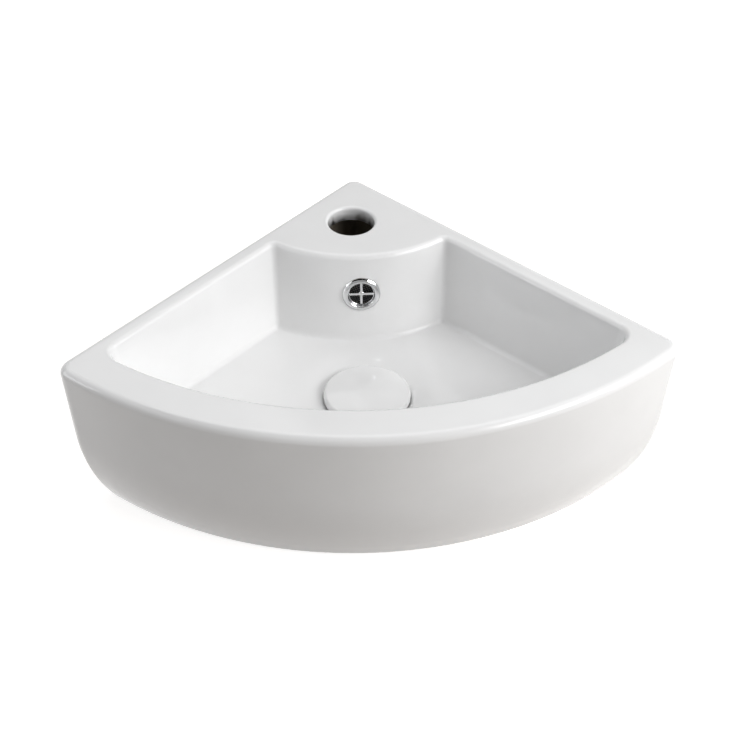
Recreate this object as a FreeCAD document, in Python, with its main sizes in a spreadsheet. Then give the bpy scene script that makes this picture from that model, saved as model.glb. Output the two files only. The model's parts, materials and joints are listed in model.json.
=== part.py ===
"""Corner hand basin: a quarter-round ceramic bowl with a tap hole, an overflow and a push-open waste.

The row frame has +Z up and +X along the widest side. The two wall faces meet at the back, towards +Y,
and the rounded front looks towards -Y. The origin is the middle of the base of the bounding box.
Lengths are in millimetres and angles in degrees.
"""

import FreeCAD, Part
import math
import os

import Sketcher
from FreeCAD import Placement, Rotation, Vector

SIZES = [
    # The outer form of the ceramic
    ("side_length", 325.0),  # wall side, and the radius of the front about the corner
    ("height", 145.0),
    ("back_rounding", 10.0),
    ("front_rounding", 12.0),
    ("rim_edge", 6.0),
    ("foot_edge", 4.0),
    ("front_draft", 8.0),
    ("front_curve", 175.0),
    ("foot_tuck", 36.0),
    # The bowl
    ("bowl_depth", 75.0),
    ("front_rim", 35.5),
    ("front_lean", 12.0),
    ("side_rim", 14.5),
    ("side_lean", 7.5),
    ("deck_radius", 109.0),
    ("deck_lean", 6.5),
    ("bowl_front_corner", 13.0),
    ("bowl_deck_corner", 4.5),
    ("floor_edge", 4.0),
    ("bowl_edge", 4.5),
    ("dish_radius", 60.0),
    ("dish_drop", 3.0),
    # Walls and the hollow underside
    ("wall", 10.0),
    ("foot_width", 12.0),
    ("floor_thickness", 12.0),
    ("deck_thickness", 12.0),
    ("rim_hollow_side", 24.0),
    # Holes for the tap and for the wall studs
    ("tap_reach", 61.5),
    ("tap_offset", 5.0),  # towards -X, so that the hole lies a little left of the middle
    ("tap_radius", 18.0),
    ("tap_edge", 2.5),
    ("stud_reach", 72.0),
    ("stud_level", 98.0),
    ("stud_radius", 7.0),
    # The waste hole, its seat and the overflow duct
    ("waste_reach", 184.5),
    ("seat_depth", 3.3),
    ("seat_play", 0.8),
    ("throat_radius", 22.5),
    ("throat_length", 26.0),
    ("throat_wall", 11.5),
    ("duct_half_width", 14.0),
    ("duct_depth", 10.0),
    ("duct_wall", 6.0),
    ("duct_headroom", 13.0),
    ("duct_bond", 1.0),
    # The overflow hole and its trim
    ("overflow_drop", 34.0),
    ("overflow_radius", 12.0),
    ("overflow_sink", 1.0),
    ("trim_radius", 14.6),
    ("trim_thickness", 2.6),
    ("trim_bore", 10.2),
    ("trim_curve", 4.5),
    ("trim_neck", 0.6),
    ("trim_neck_length", 6.0),
    ("spoke_width", 1.7),
    ("spoke_hub", 2.2),
    ("spider_rim", 0.8),
    ("spider_thickness", 1.6),
    ("spider_sink", 1.2),
    ("sleeve_length", 12.4),
    ("sleeve_wall", 0.9),
    ("barb_step", 0.7),
    ("finger_slot", 3.0),
    # The waste body and what clamps it
    ("flange_radius", 32.0),
    ("flange_thickness", 2.0),
    ("flange_chamfer", 0.8),
    ("funnel_radius", 20.5),
    ("funnel_drop", 5.0),
    ("tail_radius", 20.95),
    ("tail_bore", 18.0),
    ("tail_length", 61.0),
    ("relief_width", 1.7),
    ("relief_depth", 0.8),
    ("slot_width", 13.0),
    ("slot_height", 10.0),
    ("boss_radius", 11.5),
    ("boss_length", 10.0),
    ("boss_rise", 26.0),
    ("web_thickness", 2.6),
    ("top_seal_thickness", 1.5),
    ("lower_seal_thickness", 5.0),
    ("lower_seal_radius", 31.0),
    ("lower_seal_lip", 3.5),
    ("slip_washer_thickness", 1.5),
    ("back_nut_flats", 52.0),
    ("back_nut_length", 9.0),
    # The cap
    ("cap_radius", 33.0),
    ("cap_gap", 0.8),
    ("cap_crown", 5.0),
    ("cap_shoulder", 3.0),
    ("cap_hem", 1.0),
    ("cap_wall", 5.0),
    ("disc_thickness", 2.0),
    ("disc_play", 0.3),
    ("cap_seal_thickness", 2.0),
    ("cap_seal_radius", 27.0),
    ("cap_seal_width", 5.0),
    ("stem_radius", 3.0),
    ("stem_hold", 9.7),
    ("lock_nut_flats", 10.0),
    ("lock_nut_length", 4.0),
    # The push mechanism
    ("stroke", 9.0),
    ("barrel_radius", 8.0),
    ("barrel_bore", 6.6),
    ("barrel_rise", 17.0),
    ("barrel_drop", 18.0),
    ("barrel_lip", 2.0),
    ("collar_radius", 11.5),
    ("collar_thickness", 3.0),
    ("gasket_thickness", 1.2),
    ("barrel_nut_flats", 20.0),
    ("barrel_nut_length", 5.0),
    ("plug_depth", 4.0),
    ("plug_head", 1.5),
    ("plunger_head", 5.0),
    ("plunger_neck", 5.0),
    ("plunger_rise", 1.5),
    ("plunger_pin", 3.0),
    ("plunger_pin_length", 9.0),
    ("rotor_thickness", 3.9),
    ("rotor_radius", 5.2),
    ("rotor_rib", 1.6),
    ("spring_radius", 4.6),
    ("spring_wire", 0.5),
    # Clearances
    ("running", 0.1),
    ("swivel", 0.03),
    ("thread_play", 0.05),
    ("play", 0.3),
]

WEB_COUNT = 3
SLOT_COUNT = 4
SPOKE_COUNT = 4
FINGER_COUNT = 4
RIB_COUNT = 4
NUT_SIDES = 6
SPRING_TURNS = 6
QUARTER = 90.0
FULL_TURN = 360.0
HALF = math.sqrt(0.5)

doc = FreeCAD.newDocument("corner_basin")
sheet = doc.addObject("Spreadsheet::Sheet", "sizes")
for row, (alias, number) in enumerate(SIZES, start=1):
    sheet.set(f"A{row}", alias)
    sheet.set(f"B{row}", str(number))
    sheet.setAlias(f"B{row}", alias)
doc.recompute()


class Size:
    """A length or an angle that carries its value and the formula that gives it from the sheet."""

    def __init__(self, value, text):
        self.value = value
        self.text = text

    def __add__(self, other):
        other = as_size(other)
        return Size(self.value + other.value, f"({self.text} + {other.text})")

    def __sub__(self, other):
        other = as_size(other)
        return Size(self.value - other.value, f"({self.text} - {other.text})")

    def __mul__(self, other):
        other = as_size(other)
        return Size(self.value * other.value, f"({self.text} * {other.text})")

    def __truediv__(self, other):
        other = as_size(other)
        return Size(self.value / other.value, f"({self.text} / {other.text})")

    def __neg__(self):
        return Size(-self.value, f"(0 - {self.text})")


def as_size(number):
    return number if isinstance(number, Size) else Size(float(number), repr(float(number)))


def root(size):
    return Size(math.sqrt(size.value), f"sqrt({size.text})")


def sine(angle):
    return Size(math.sin(math.radians(angle.value)), f"sin({angle.text})")


def cosine(angle):
    return Size(math.cos(math.radians(angle.value)), f"cos({angle.text})")


def slope(ratio):
    """The angle whose tangent is the ratio."""
    return Size(math.degrees(math.atan(ratio.value)), f"(atan({ratio.text}) / 1 deg)")


size = {alias: Size(float(sheet.get(alias)), f"sizes.{alias}") for alias, number in SIZES}
ZERO = as_size(0)

# Levels, from the top down and then up through the waste
floor = size["height"] - size["bowl_depth"]
dish_floor = floor - size["dish_drop"]
seat = dish_floor - size["seat_depth"]
flange_under = seat + size["top_seal_thickness"]
flange_top = flange_under + size["flange_thickness"]
cap_under = flange_top + size["cap_gap"]
cap_seal_under = flange_top + size["play"]
disc_under = cap_seal_under + size["cap_seal_thickness"]
disc_top = disc_under + size["disc_thickness"]
cap_top = disc_top + size["cap_crown"]
throat_under = seat - size["throat_length"]
duct_floor = throat_under + size["duct_wall"]
lower_seal_under = throat_under - size["lower_seal_thickness"]
slip_washer_under = lower_seal_under - size["slip_washer_thickness"]
back_nut_under = slip_washer_under - size["back_nut_length"]
relief_top = back_nut_under - size["play"]
cavity_top = floor - size["floor_thickness"]
deck_under = size["height"] - size["deck_thickness"]
tail_end = flange_under - size["tail_length"]
boss_under = tail_end + size["boss_rise"]
boss_top = boss_under + size["boss_length"]
collar_under = boss_top + size["gasket_thickness"]
collar_top = collar_under + size["collar_thickness"]
barrel_top = collar_top + size["barrel_rise"]
barrel_under = boss_top - size["barrel_drop"]
plug_top = barrel_under + size["plug_depth"]
head_top = barrel_top - size["barrel_lip"] - size["play"] - size["stroke"]
head_under = head_top - size["plunger_head"]
rotor_top = head_under - size["play"]
rotor_under = rotor_top - size["rotor_thickness"]
plunger_top = barrel_top + size["plunger_rise"]
socket_floor = plunger_top - size["stem_hold"] - size["play"]

# The wall corner lies behind the origin, so that the bounding box is centred
corner_y = (size["side_length"] + size["back_rounding"] * (math.sqrt(2) - 1)) / 2
waste_y = corner_y - size["waste_reach"]

# The front face: a straight draft at the top, then one large arc down to the foot
draft_sine = sine(size["front_draft"])
draft_cosine = cosine(size["front_draft"])
curve_start = size["front_curve"] * (sine(size["foot_tuck"]) - draft_sine)
curve_inset = size["front_curve"] * (draft_cosine - cosine(size["foot_tuck"]))
curve_radius_top = size["side_length"] - (size["height"] - curve_start) * draft_sine / draft_cosine
foot_radius = curve_radius_top - curve_inset


def front_radius(level):
    """The outer radius of the front at a level of the large arc."""
    turned_sine = draft_sine + (curve_start - level) / size["front_curve"]
    turned_cosine = root(as_size(1) - turned_sine * turned_sine)
    return curve_radius_top - size["front_curve"] * (draft_cosine - turned_cosine)


bowl_front = size["side_length"] - size["front_rim"]
bowl_front_low = bowl_front - size["front_lean"]
bowl_side_low = size["side_rim"] + size["side_lean"]
deck_radius_low = size["deck_radius"] + size["deck_lean"]

# The overflow lies on the leaning deck wall, square to it
overflow_level = size["height"] - size["overflow_drop"]
overflow_reach = size["deck_radius"] + size["deck_lean"] * size["overflow_drop"] / size["bowl_depth"]
deck_slope = slope(size["deck_lean"] / size["bowl_depth"])
overflow_turn = as_size(QUARTER) - deck_slope


def bind(item, path, value):
    item.setExpression(path, value.text)


def place(item, y=ZERO, z=ZERO, x=ZERO):
    """Moves an object or a feature to a point that follows the sheet."""
    item.Placement.Base = Vector(x.value, y.value, z.value)
    for axis, value in (("x", x), ("y", y), ("z", z)):
        bind(item, f"Placement.Base.{axis}", value)


def origin_plane(body, role):
    return next(item for item in body.Origin.OriginFeatures if item.Role == role)


def add_arc(sketch, start, end, radius):
    """An arc from start to end. A positive radius turns left along the way, a negative one right."""
    chord = end - start
    half = chord.Length / 2
    left = Vector(-chord.y, chord.x, 0).normalize()
    reach = math.sqrt(max(radius * radius - half * half, 0.0))
    centre = (start + end) / 2 + left * math.copysign(reach, radius)
    first, last = (start, end) if radius > 0 else (end, start)
    circle = Part.Circle(centre, Vector(0, 0, 1), abs(radius))
    angles = [math.atan2(point.y - centre.y, point.x - centre.x) for point in (first, last)]
    if angles[1] < angles[0]:
        angles[1] += 2 * math.pi
    number = sketch.addGeometry(Part.ArcOfCircle(circle, angles[0], angles[1]))
    return (number, 1, 2) if radius > 0 else (number, 2, 1)


def outline(body, name, role, points, arcs=None, lift=ZERO, shift=ZERO):
    """A closed sketch through points. arcs gives the radius of the side that leaves a point."""
    arcs = arcs or {}
    sketch = body.newObject("Sketcher::SketchObject", name)
    sketch.AttachmentSupport = [(origin_plane(body, role), "")]
    sketch.MapMode = "FlatFace"
    sketch.AttachmentOffset = Placement(Vector(shift.value, 0, lift.value), Rotation())
    bind(sketch, "AttachmentOffset.Base.z", lift)
    bind(sketch, "AttachmentOffset.Base.x", shift)
    spots = [Vector(x.value, y.value, 0) for x, y in points]
    sides = []
    for index, start in enumerate(spots):
        end = spots[(index + 1) % len(spots)]
        if index in arcs:
            sides.append(add_arc(sketch, start, end, arcs[index].value))
        else:
            sides.append((sketch.addGeometry(Part.LineSegment(start, end)), 1, 2))
    for index, (side, start, end) in enumerate(sides):
        following, following_start, _ = sides[(index + 1) % len(sides)]
        sketch.addConstraint(Sketcher.Constraint("Coincident", side, end, following, following_start))
        for axis, value in zip("XY", points[index]):
            rule = Sketcher.Constraint(f"Distance{axis}", side, start, value.value)
            bind(sketch, f"Constraints[{sketch.addConstraint(rule)}]", value)
        if index in arcs:
            radius = arcs[index]
            positive = radius if radius.value > 0 else -radius
            rule = Sketcher.Constraint("Radius", side, positive.value)
            bind(sketch, f"Constraints[{sketch.addConstraint(rule)}]", positive)
    return sketch


def new_body(label):
    return doc.addObject("PartDesign::Body", label)


def spin(body, sketch, kind="Revolution", angle=FULL_TURN):
    """A revolution or a groove about the sketch's upright axis."""
    feature = body.newObject(f"PartDesign::{kind}", f"{sketch.Name}_{kind.lower()}")
    feature.Profile = sketch
    feature.ReferenceAxis = (sketch, ["V_Axis"])
    feature.Angle = angle
    feature.Midplane = angle < FULL_TURN
    sketch.Visibility = False
    return feature


def turned(label, points, arcs=None):
    """A body turned about its own Z axis, from points of radius and level."""
    body = new_body(label)
    spin(body, outline(body, f"{label}_section", "XZ_Plane", points, arcs))
    return body


def ring_points(inner, outer, low, high):
    return [(inner, low), (outer, low), (outer, high), (inner, high)]


def cylinder(body, name, mode, radius, length, **spot):
    feature = body.newObject(f"PartDesign::{mode}Cylinder", name)
    bind(feature, "Radius", radius)
    bind(feature, "Height", length)
    place(feature, **spot)
    return feature


def block(body, name, mode, half_width, near, far, low, high):
    """A box centred across X, between two values of Y and two of Z."""
    feature = body.newObject(f"PartDesign::{mode}Box", name)
    bind(feature, "Length", half_width * 2)
    bind(feature, "Width", far - near)
    bind(feature, "Height", high - low)
    place(feature, x=-half_width, y=near, z=low)
    return feature


def polar(body, feature, count):
    pattern = body.newObject("PartDesign::PolarPattern", f"{feature.Name}_pattern")
    pattern.Originals = [feature]
    pattern.Axis = (origin_plane(body, "Z_Axis"), [""])
    pattern.Angle = FULL_TURN
    pattern.Occurrences = count
    body.Tip = pattern
    return pattern


def cutting(body, make):
    """Runs a cut and stops if it took nothing away."""
    doc.recompute()
    before = body.Shape.Volume
    feature = make()
    doc.recompute()
    if body.Shape.Volume > before - 1.0:
        raise RuntimeError(f"{feature.Name} cut nothing")
    return feature


def loft(body, name, mode, sketches):
    feature = body.newObject(f"PartDesign::{mode}Loft", name)
    feature.Profile = sketches[0]
    feature.Sections = sketches[1:]
    feature.Ruled = True
    for sketch in sketches:
        sketch.Visibility = False
    return feature


def round_edges(body, name, radius, wanted):
    """A fillet on the edges of the last feature whose ends and middle meet the test."""
    doc.recompute()
    base = body.Tip
    names = []
    for number, edge in enumerate(base.Shape.Edges, start=1):
        middle = edge.valueAt((edge.FirstParameter + edge.LastParameter) / 2)
        levels = sorted(vertex.Z for vertex in edge.Vertexes)
        if wanted(middle, levels[0], levels[-1]):
            names.append(f"Edge{number}")
    if not names:
        raise RuntimeError(f"{name} found no edges")
    fillet = body.newObject("PartDesign::Fillet", name)
    fillet.Base = (base, names)
    bind(fillet, "Radius", radius)
    return fillet


def same(one, other):
    return abs(one - other) < 0.01


def from_corner(point):
    return math.hypot(point.x, point.y)


def from_wall(point):
    """How far a point lies inside the nearer wall plane, in the basin's own frame."""
    return (-point.y - abs(point.x)) * HALF


def wall_point(radius, offset, side):
    """Where a circle about the corner meets the line at an offset from a wall plane."""
    along = root(radius * radius - offset * offset)
    return ((along - offset) * HALF * side, -(along + offset) * HALF)


def ring_sector(body, name, inner, outer, offset, lift):
    """The outline of a quarter ring about the corner, its sides set in from the walls."""
    points = [
        wall_point(inner, offset, -1),
        wall_point(outer, offset, -1),
        wall_point(outer, offset, 1),
        wall_point(inner, offset, 1),
    ]
    return outline(body, name, "XY_Plane", points, {1: outer, 3: -inner}, lift=lift)


def corner_sector(body, name, outer, offset, lift):
    """The outline of a quarter disc about the corner, its sides set in from the walls."""
    points = [
        (ZERO, -offset * math.sqrt(2)),
        wall_point(outer, offset, -1),
        wall_point(outer, offset, 1),
    ]
    return outline(body, name, "XY_Plane", points, {1: outer}, lift=lift)


def outer_form(basin):
    """The solid quarter round with its rounded corners, rim and foot."""
    points = [
        (ZERO, ZERO),
        (-foot_radius, ZERO),
        (-curve_radius_top, curve_start),
        (-size["side_length"], size["height"]),
        (ZERO, size["height"]),
    ]
    section = outline(basin, "front_section", "YZ_Plane", points, {1: -size["front_curve"]})
    spin(basin, section, angle=QUARTER)
    top = size["height"].value
    round_edges(basin, "back_corner", size["back_rounding"],
                lambda middle, low, high: from_corner(middle) < 1.0 and high - low > 1.0)
    round_edges(basin, "front_corners", size["front_rounding"],
                lambda middle, low, high: from_corner(middle) > foot_radius.value - 1.0
                and abs(from_wall(middle)) < 0.1 and high - low > 1.0)
    round_edges(basin, "rim_rounding", size["rim_edge"],
                lambda middle, low, high: same(low, top) and same(high, top))
    round_edges(basin, "foot_rounding", size["foot_edge"],
                lambda middle, low, high: same(low, 0.0) and same(high, 0.0))


def bowl(basin):
    """The bowl between the deck and the front rim, with a shallow dish round the waste."""
    rim = ring_sector(basin, "bowl_rim", size["deck_radius"], bowl_front, size["side_rim"],
                      size["height"])
    base = ring_sector(basin, "bowl_base", deck_radius_low, bowl_front_low, bowl_side_low, floor)
    cutting(basin, lambda: loft(basin, "bowl_cut", "Subtractive", [rim, base]))
    top = size["height"].value
    middle_radius = (size["deck_radius"].value + bowl_front.value) / 2
    upright = lambda low, high: same(low, floor.value) and same(high, top)
    round_edges(basin, "bowl_front_corners", size["bowl_front_corner"],
                lambda middle, low, high: upright(low, high) and from_corner(middle) > middle_radius)
    round_edges(basin, "bowl_deck_corners", size["bowl_deck_corner"],
                lambda middle, low, high: upright(low, high) and from_corner(middle) < middle_radius)
    round_edges(basin, "bowl_floor_rounding", size["floor_edge"],
                lambda middle, low, high: same(low, floor.value) and same(high, floor.value))
    inside = (size["side_rim"].value + size["rim_edge"].value) / 2
    before_rim = (bowl_front.value + size["side_length"].value - size["rim_edge"].value) / 2
    round_edges(basin, "bowl_edge_rounding", size["bowl_edge"],
                lambda middle, low, high: same(low, top) and same(high, top)
                and from_wall(middle) > inside and from_corner(middle) < before_rim)
    recess = size["flange_radius"] + size["seat_play"]
    run = size["dish_radius"] - recess
    dish_curve = (run * run + size["dish_drop"] * size["dish_drop"]) / (size["dish_drop"] * 2)
    points = [(ZERO, dish_floor), (recess, dish_floor), (size["dish_radius"], floor), (ZERO, floor)]
    section = outline(basin, "dish_section", "YZ_Plane", points, {1: -dish_curve},
                      shift=-size["waste_reach"])
    cutting(basin, lambda: spin(basin, section, "Groove"))


def underside(basin):
    """The open hollow below the floor, the one below the deck and the one inside the front rim."""
    skirt = front_radius(cavity_top) - size["wall"]
    low = corner_sector(basin, "cavity_base", foot_radius - size["foot_width"], size["wall"], ZERO)
    high = corner_sector(basin, "cavity_roof", skirt, size["wall"], cavity_top)
    cutting(basin, lambda: loft(basin, "cavity_cut", "Subtractive", [low, high]))
    low = corner_sector(basin, "deck_cavity_base", deck_radius_low - size["wall"], size["wall"],
                        cavity_top)
    high = corner_sector(basin, "deck_cavity_roof", size["deck_radius"] - size["wall"],
                         size["wall"], deck_under)
    cutting(basin, lambda: loft(basin, "deck_cavity_cut", "Subtractive", [low, high]))
    share = as_size(1) - size["deck_thickness"] / size["bowl_depth"]
    bowl_wall_high = bowl_front_low + size["front_lean"] * share
    rim_outer = size["side_length"] - size["deck_thickness"] * draft_sine / draft_cosine
    low = ring_sector(basin, "rim_hollow_base", bowl_front_low + size["wall"], skirt,
                      size["rim_hollow_side"], cavity_top)
    high = ring_sector(basin, "rim_hollow_roof", bowl_wall_high + size["wall"],
                       rim_outer - size["wall"], size["rim_hollow_side"], deck_under)
    cutting(basin, lambda: loft(basin, "rim_hollow_cut", "Subtractive", [low, high]))


def duct_and_throat(basin):
    """The duct cast behind the deck wall, which runs under the floor into the waste's throat."""
    overlap = size["wall"] / 2
    duct_front = -(overflow_reach - size["wall"])
    duct_back = duct_front + size["duct_depth"]
    block_back = duct_back + size["duct_wall"]
    half_block = size["duct_half_width"] + size["duct_wall"]
    block_front = -(deck_radius_low - size["wall"] + size["duct_bond"])
    roof = duct_floor + size["duct_depth"]
    block(basin, "duct_upright", "Additive", half_block, block_front, block_back, throat_under,
          deck_under + overlap)
    block(basin, "duct_under_floor", "Additive", half_block, -size["waste_reach"], block_back,
          throat_under, cavity_top + overlap)
    cylinder(basin, "throat_boss", "Additive", size["throat_radius"] + size["throat_wall"],
             cavity_top + overlap - throat_under, y=-size["waste_reach"], z=throat_under)
    cutting(basin, lambda: block(basin, "duct_drop", "Subtractive", size["duct_half_width"],
                                 duct_front, duct_back, duct_floor,
                                 overflow_level + size["duct_headroom"]))
    cutting(basin, lambda: block(basin, "duct_run", "Subtractive", size["duct_half_width"],
                                 -size["waste_reach"], duct_back, duct_floor, roof))
    cutting(basin, lambda: cylinder(basin, "waste_hole", "Subtractive", size["throat_radius"],
                                    size["throat_length"] + overlap, y=-size["waste_reach"],
                                    z=throat_under - overlap / 2))
    cutting(basin, lambda: cylinder(basin, "flange_recess", "Subtractive",
                                    size["flange_radius"] + size["seat_play"],
                                    size["seat_depth"] + overlap, y=-size["waste_reach"], z=seat))


def tap_and_stud_holes(basin):
    cutting(basin, lambda: cylinder(basin, "tap_hole", "Subtractive", size["tap_radius"],
                                    size["deck_thickness"] * 2, x=-size["tap_offset"],
                                    y=-size["tap_reach"],
                                    z=deck_under - size["deck_thickness"] / 2))
    top = size["height"].value
    tap_centre = Vector(-size["tap_offset"].value, -size["tap_reach"].value, top)
    round_edges(basin, "tap_hole_rounding", size["tap_edge"],
                lambda middle, low, high: same(low, top) and same(high, top)
                and same(middle.distanceToPoint(tap_centre), size["tap_radius"].value))
    start = size["wall"] * 1.5
    for side, name in ((1, "right_stud_hole"), (-1, "left_stud_hole")):
        spot = {
            "x": (size["stud_reach"] - start) * HALF * side,
            "y": -(size["stud_reach"] + start) * HALF,
            "z": size["stud_level"],
        }

        def drill():
            hole = cylinder(basin, name, "Subtractive", size["stud_radius"], size["wall"] * 2, **spot)
            hole.Placement.Rotation = Rotation(Vector(0, 0, 1), Vector(side, 1, 0))
            return hole

        cutting(basin, drill)


def overflow_bore(basin, name, radius, depth):
    """A round cut square to the leaning deck wall, from a depth behind its face outwards."""
    bore = cylinder(basin, name, "Subtractive", radius, depth + size["wall"],
                    y=depth * cosine(deck_slope) - overflow_reach,
                    z=overflow_level - depth * sine(deck_slope))
    bore.Placement.Rotation = Rotation(Vector(1, 0, 0), overflow_turn.value)
    bind(bore, "Placement.Rotation.Angle", overflow_turn)
    return bore


def make_basin():
    basin = new_body("basin_body")
    outer_form(basin)
    bowl(basin)
    underside(basin)
    duct_and_throat(basin)
    tap_and_stud_holes(basin)
    through = size["wall"] + size["duct_depth"] / 2
    cutting(basin, lambda: overflow_bore(basin, "overflow_hole", size["overflow_radius"], through))
    spot = size["trim_radius"] + size["play"]
    cutting(basin, lambda: overflow_bore(basin, "overflow_seat", spot, size["overflow_sink"]))
    place(basin, y=corner_y)
    return basin


def set_on_deck_wall(body):
    """Stands a turned piece on the overflow's axis, its Z pointing out of the deck wall."""
    place(body, y=corner_y - overflow_reach, z=overflow_level)
    body.Placement.Rotation = Rotation(Vector(1, 0, 0), overflow_turn.value)
    bind(body, "Placement.Rotation.Angle", overflow_turn)


def make_overflow_trim():
    """A domed ring whose neck reaches into the hole."""
    back = -size["overflow_sink"]
    face = back + size["trim_thickness"]
    neck = size["trim_bore"] + size["trim_neck"]
    lip = size["trim_thickness"] / 2
    crown = size["trim_bore"] + lip
    points = [
        (size["trim_bore"], back - size["trim_neck_length"]),
        (neck, back - size["trim_neck_length"]),
        (neck, back),
        (size["trim_radius"], back),
        (size["trim_radius"], back + lip / 2),
        (crown, face),
        (size["trim_bore"], face - lip),
    ]
    ring = turned("overflow_trim_ring", points, {4: size["trim_curve"], 5: lip})
    set_on_deck_wall(ring)


def make_overflow_spider():
    """A grid of crossed spokes in a thin rim, pressed into the ring from behind."""
    spider = new_body("overflow_spider")
    low = -size["overflow_sink"] - size["spider_sink"]
    high = low + size["spider_thickness"]
    outer = size["trim_bore"] - size["thread_play"]
    inner = outer - size["spider_rim"]
    spin(spider, outline(spider, "spider_rim", "XZ_Plane", ring_points(inner, outer, low, high)))
    cylinder(spider, "spider_hub", "Additive", size["spoke_hub"], size["spider_thickness"], z=low)
    half = size["spoke_width"] / 2
    block(spider, "spoke_pair", "Additive", half, -(inner + size["spider_rim"] / 2),
          inner + size["spider_rim"] / 2, low, high)
    polar(spider, spider.Tip, SPOKE_COUNT)
    set_on_deck_wall(spider)


def make_overflow_sleeve():
    """A slotted sleeve round the ring's neck, whose barbed fingers snap behind the deck wall."""
    inner = size["trim_bore"] + size["trim_neck"] + size["running"]
    outer = inner + size["sleeve_wall"]
    barb = outer + size["barb_step"]
    back = -size["overflow_sink"]
    tip = back - size["sleeve_length"]
    step = tip + size["barb_step"] * 3
    points = [
        (inner, tip),
        (outer, tip),
        (barb, step - size["barb_step"]),
        (barb, step),
        (outer, step),
        (outer, back - size["play"]),
        (inner, back - size["play"]),
    ]
    sleeve = turned("overflow_clip_sleeve", points)
    half = size["finger_slot"] / 2
    slot_top = back - size["trim_neck_length"]
    cutting(sleeve, lambda: block(sleeve, "finger_gap", "Subtractive", half, ZERO, barb * 2, tip,
                                  slot_top))
    polar(sleeve, sleeve.Tip, FINGER_COUNT)
    set_on_deck_wall(sleeve)


def make_waste_body():
    """The flanged tail with its overflow slots, and the boss that carries the push mechanism.

    A thread relief parts the trap's thread at the free end from the back nut's thread above it.
    """
    relief_radius = size["tail_radius"] - size["relief_depth"]
    points = [
        (size["tail_bore"], tail_end),
        (size["tail_radius"], tail_end),
        (size["tail_radius"], relief_top - size["relief_width"]),
        (relief_radius, relief_top - size["relief_width"]),
        (relief_radius, relief_top),
        (size["tail_radius"], relief_top),
        (size["tail_radius"], flange_under),
        (size["flange_radius"], flange_under),
        (size["flange_radius"], flange_top - size["flange_chamfer"]),
        (size["flange_radius"] - size["flange_chamfer"], flange_top),
        (size["funnel_radius"], flange_top),
        (size["tail_bore"], flange_top - size["funnel_drop"]),
    ]
    waste = turned("waste_body", points, {8: size["flange_chamfer"]})
    cylinder(waste, "boss", "Additive", size["boss_radius"], size["boss_length"], z=boss_under)
    half = size["web_thickness"] / 2
    reach = (size["tail_bore"] + size["tail_radius"]) / 2
    block(waste, "web", "Additive", half, ZERO, reach, boss_under, boss_top)
    polar(waste, waste.Tip, WEB_COUNT)
    cutting(waste, lambda: cylinder(waste, "boss_bore", "Subtractive",
                                    size["barrel_radius"] + size["thread_play"],
                                    size["boss_length"] * 2,
                                    z=boss_under - size["boss_length"] / 2))
    half = size["slot_width"] / 2
    reach = size["tail_radius"] * 1.5
    cutting(waste, lambda: block(waste, "overflow_slot", "Subtractive", half, ZERO, reach,
                                 duct_floor, duct_floor + size["slot_height"]))
    polar(waste, waste.Tip, SLOT_COUNT)
    place(waste, y=waste_y)


def make_seals():
    """The flat seal under the flange and the tapered one that closes the throat from below."""
    bore = size["tail_radius"] + size["running"]
    top_seal = turned("waste_top_seal", ring_points(bore, size["flange_radius"] - size["cap_gap"],
                                                    seat, flange_under))
    place(top_seal, y=waste_y)
    lip_radius = size["throat_radius"] - size["play"]
    taper = size["lower_seal_thickness"] / 2
    points = [
        (bore, lower_seal_under),
        (size["lower_seal_radius"] - taper, lower_seal_under),
        (size["lower_seal_radius"], lower_seal_under + taper),
        (size["lower_seal_radius"], throat_under),
        (lip_radius, throat_under),
        ((bore + lip_radius) / 2, throat_under + size["lower_seal_lip"]),
        (bore, throat_under + size["lower_seal_lip"]),
    ]
    place(turned("waste_lower_seal", points), y=waste_y)
    washer = turned("waste_slip_washer",
                    ring_points(bore, size["lower_seal_radius"] - taper, slip_washer_under,
                                lower_seal_under))
    place(washer, y=waste_y)


def hex_nut(label, flats, length, bore, low):
    """A nut cut from a six-sided bar, its top and bottom corners turned off."""
    body = new_body(label)
    corner = flats / math.sqrt(3)
    chamfer = (corner - flats / 2) / 2
    points = [
        (bore, ZERO),
        (corner - chamfer, ZERO),
        (corner, chamfer),
        (corner, length - chamfer),
        (corner - chamfer, length),
        (bore, length),
    ]
    spin(body, outline(body, f"{label}_section", "XZ_Plane", points))
    doc.recompute()

    cutting(body, lambda: block(body, f"{label}_flat", "Subtractive", corner, flats / 2, flats,
                                ZERO, length))
    polar(body, body.Tip, NUT_SIDES)
    place(body, y=waste_y, z=low)
    return body


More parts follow.
